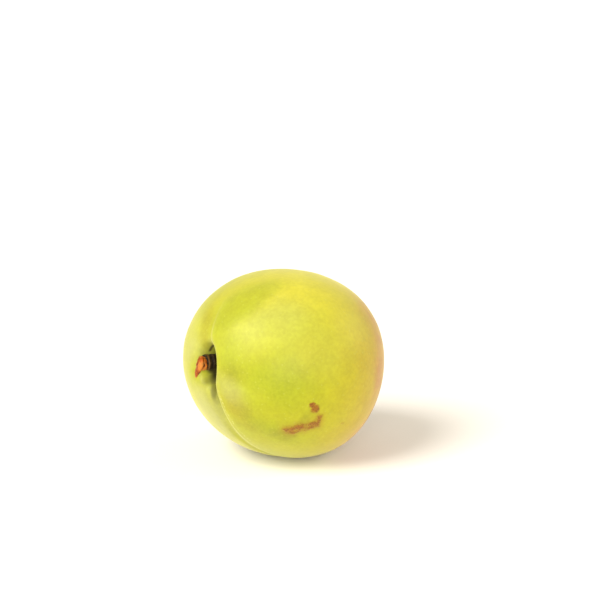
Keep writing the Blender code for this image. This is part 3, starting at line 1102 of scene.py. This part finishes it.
class NECTARINE_OT_stalk(Operator):
    """Models the stub of stalk in the cavity, with the rings of its bark"""

    bl_idname = "nectarine.stalk"
    bl_label = "Stalk"

    def execute(self, context):
        settings = context.scene.nectarine
        body = settings.body
        stalk = settings.stalk
        foot = body.half_length - body.cavity_depth - STALK_SINK - stalk.end_height
        rise = -foot / STALK_STEPS
        radius = stalk_radius(stalk, 0)
        stub = start_piece(
            "stalk_stub",
            bpy.ops.mesh.primitive_circle_add,
            vertices=STALK_SIDES,
            radius=radius,
            fill_type="NGON",
            location=(0, 0, foot),
        )
        bpy.ops.object.transform_apply(location=True, rotation=True, scale=True)
        bpy.ops.object.mode_set(mode="EDIT")
        bpy.ops.mesh.select_all(action="SELECT")
        for step in range(1, STALK_STEPS + 1):
            wanted = stalk_radius(stalk, step / STALK_STEPS)
            bpy.ops.mesh.extrude_region_move(TRANSFORM_OT_translate={"value": (0, 0, rise)})
            bpy.ops.transform.resize(
                value=(wanted / radius, wanted / radius, 1), center_override=(0, 0, foot + rise * step)
            )
            radius = wanted
        bpy.ops.mesh.inset(thickness=STALK_RIM)
        bpy.ops.transform.translate(value=(0, 0, -STALK_HOLLOW))
        bpy.ops.mesh.inset(thickness=STALK_RIM)
        bpy.ops.mesh.select_all(action="SELECT")
        bpy.ops.transform.resize(value=(1, STALK_NARROWING, 1), center_override=(0, 0, 0))
        bpy.ops.mesh.normals_make_consistent(inside=False)
        bpy.ops.object.mode_set(mode="OBJECT")
        smooth = stub.modifiers.new("smooth", "SUBSURF")
        smooth.levels = STALK_SMOOTHING
        smooth.render_levels = STALK_SMOOTHING
        roughen(stub, "stalk_relief", STALK_RELIEF_GRAIN, STALK_RELIEF_HEIGHT)
        bpy.ops.object.shade_smooth()
        own_frame = stub_frame(laid_frame(body), stalk)
        write_points(stub.data, slant_break(read_points(stub.data)))
        stub.data.transform(own_frame)
        finish_piece(stub, "stem", stalk_finish(stalk, own_frame))
        return {"FINISHED"}


class NECTARINE_OT_torn_bark(Operator):
    """Models the torn bark that hooks over the stub's end"""

    bl_idname = "nectarine.torn_bark"
    bl_label = "Torn bark"

    def execute(self, context):
        settings = context.scene.nectarine
        stalk = settings.stalk
        bark = start_piece(
            "torn_bark",
            bpy.ops.mesh.primitive_uv_sphere_add,
            segments=BARK_SIDES,
            ring_count=BARK_RINGS,
            radius=1,
        )
        sphere = read_points(bark.data)
        along = np.arccos(np.clip(-sphere[:, 2], -1, 1)) / math.pi
        around = np.arctan2(sphere[:, 1], sphere[:, 0])
        write_points(bark.data, torn_bark_points(along, around))
        marks = bark.data.attributes.new(BARK_ALONG, "FLOAT", "POINT")
        marks.data.foreach_set("value", along.astype(np.float32))
        roughen(bark, "bark_relief", BARK_RELIEF_GRAIN, BARK_RELIEF_HEIGHT)
        bpy.ops.object.shade_smooth()
        own_frame = bark_frame(laid_frame(settings.body), stalk)
        bark.data.transform(own_frame)
        finish_piece(bark, "stem_tip", torn_bark_finish(stalk, own_frame))
        return {"FINISHED"}


def compass(azimuth, elevation):
    """Direction from the fruit to a place round it: azimuth 0 is along -Y, 90 degrees along +X."""
    level = math.cos(elevation)
    return Vector((math.sin(azimuth) * level, -math.cos(azimuth) * level, math.sin(elevation)))


def aimed(place, target):
    """A matrix that stands at a place and looks at the target, upright."""
    turn = (target - place).to_track_quat("-Z", "Y")
    return Matrix.Translation(place) @ turn.to_matrix().to_4x4()


class NECTARINE_OT_stage(Operator):
    """Adds the pale floor, the soft light and the camera"""

    bl_idname = "nectarine.stage"
    bl_label = "Stage"

    def execute(self, context):
        settings = context.scene.nectarine
        stage = settings.stage
        middle = laid_frame(settings.body).translation
        floor = start_piece("floor", bpy.ops.mesh.primitive_plane_add, size=stage.floor_size)
        floor.data.materials.append(floor_finish(stage))
        self.add_lights(context.scene, stage, middle)
        self.add_camera(context.scene, stage, middle)
        return {"FINISHED"}

    def add_lights(self, scene, stage, middle):
        """Adds the soft lights, where pi is the full light of a sun, and the even light all round."""
        for name, azimuth, elevation, share in SOFT_LIGHTS:
            bpy.ops.object.light_add(type="SUN")
            light = bpy.context.active_object
            light.name = name
            light.data.energy = math.pi * share * stage.light
            light.data.angle = stage.light_spread
            away = compass(math.radians(azimuth), math.radians(elevation))
            light.matrix_world = aimed(middle + away * LIGHT_STAND, middle)
        world = bpy.data.worlds.new("surroundings")
        world.use_nodes = True
        background = world.node_tree.nodes["Background"]
        background.inputs["Color"].default_value = stage.ambient_tint
        background.inputs["Strength"].default_value = stage.ambient
        scene.world = world
        scene.view_settings.view_transform = "Standard"

    def add_camera(self, scene, stage, middle):
        """Adds the camera, turned so that the fruit stands where the settings place it."""
        back = compass(stage.azimuth, stage.elevation)
        right = Vector((math.cos(stage.azimuth), math.sin(stage.azimuth), 0))
        upright = back.cross(right)
        across = (0.5 - stage.across) * stage.view_width
        up = (0.5 - stage.up) * stage.view_width
        target = middle + right * across + upright * up
        bpy.ops.object.camera_add()
        camera = bpy.context.active_object
        camera.data.lens = camera.data.sensor_width * stage.distance / stage.view_width
        camera.matrix_world = aimed(middle + back * stage.distance, target)
        scene.camera = camera


class NECTARINE_PT_sidebar(Panel):
    """Lists the pieces and their settings"""

    bl_idname = "NECTARINE_PT_sidebar"
    bl_label = "Nectarine"
    bl_space_type = "VIEW_3D"
    bl_region_type = "UI"
    bl_category = "Nectarine"

    def draw(self, context):
        settings = context.scene.nectarine
        groups = (
            ("nectarine.skin", (settings.body, settings.skin)),
            ("nectarine.stalk", (settings.stalk,)),
            ("nectarine.torn_bark", ()),
            ("nectarine.stage", (settings.stage,)),
        )
        for operator, parts in groups:
            box = self.layout.box()
            box.operator(operator)
            for part in parts:
                for name in part.__annotations__:
                    box.prop(part, name)


CLASSES = (
    NectarineBody,
    NectarineSkin,
    NectarineStalk,
    NectarineStage,
    NectarineSettings,
    NECTARINE_OT_skin,
    NECTARINE_OT_stalk,
    NECTARINE_OT_torn_bark,
    NECTARINE_OT_stage,
    NECTARINE_PT_sidebar,
)


def register():
    for item in CLASSES:
        bpy.utils.register_class(item)
    bpy.types.Scene.nectarine = PointerProperty(type=NectarineSettings)


def unregister():
    del bpy.types.Scene.nectarine
    for item in reversed(CLASSES):
        bpy.utils.unregister_class(item)


def main():
    register()
    bpy.ops.nectarine.skin()
    bpy.ops.nectarine.stalk()
    bpy.ops.nectarine.torn_bark()
    bpy.ops.nectarine.stage()


if __name__ == "__main__":
    main()
